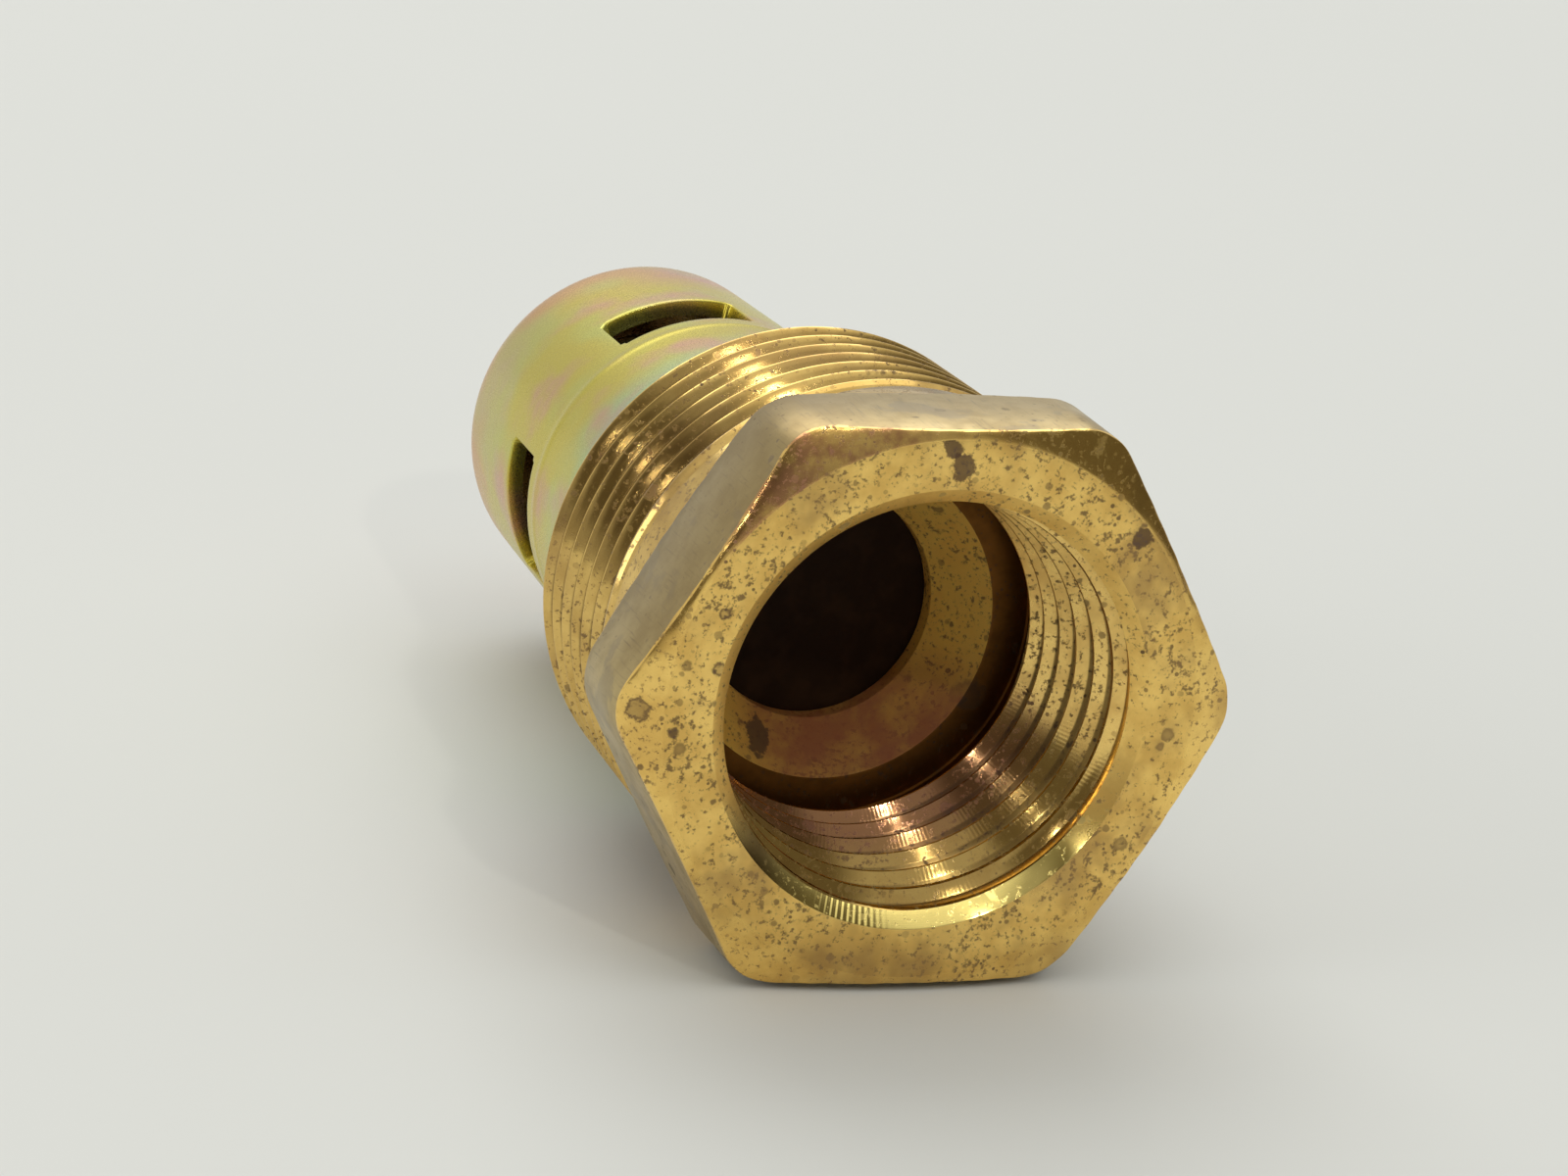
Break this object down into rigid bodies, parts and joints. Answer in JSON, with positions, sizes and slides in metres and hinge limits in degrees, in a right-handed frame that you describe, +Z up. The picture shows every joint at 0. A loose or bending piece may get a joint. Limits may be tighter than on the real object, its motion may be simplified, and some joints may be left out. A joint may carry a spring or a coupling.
{
  "type": "in-tank check valve",
  "caption": "Hexagon-headed brass check valve with female and male taper pipe threads and a slotted steel cage that holds a sprung poppet.",
  "frame": {"origin": "centre of the overall box, on the flow axis half way between the inlet face and the cage's closed end", "axes": "+Y along the flow from the inlet face to the cage's closed end, +Z up out of one hexagon flat, +X to the right seen from the inlet"},
  "size_m": [0.032, 0.0504, 0.0286],
  "materials": {
    "brass": "machined, aged and speckled with small dark pits",
    "yellow_zinc": "satin yellow chromate over zinc, faintly iridescent",
    "seat_rubber": "matt, very dark brown",
    "black_nylon": "moulded, matt",
    "spring_steel": "drawn wire"
  },
  "bodies": {
    "valve": {"valve_body": "brass", "retainer_cage": "yellow_zinc", "spring": "spring_steel"},
    "poppet": {"poppet": "black_nylon", "seat_disc": "seat_rubber"}
  },
  "joints": [
    {"name": "poppet_slide", "type": "slide", "parent": "valve", "child": "poppet", "axis": [0, 1, 0], "range_m": [0, 0.006], "stiffness_N_per_m": 250, "springref_m": -0.004, "deforming": ["spring"]}
  ]
}
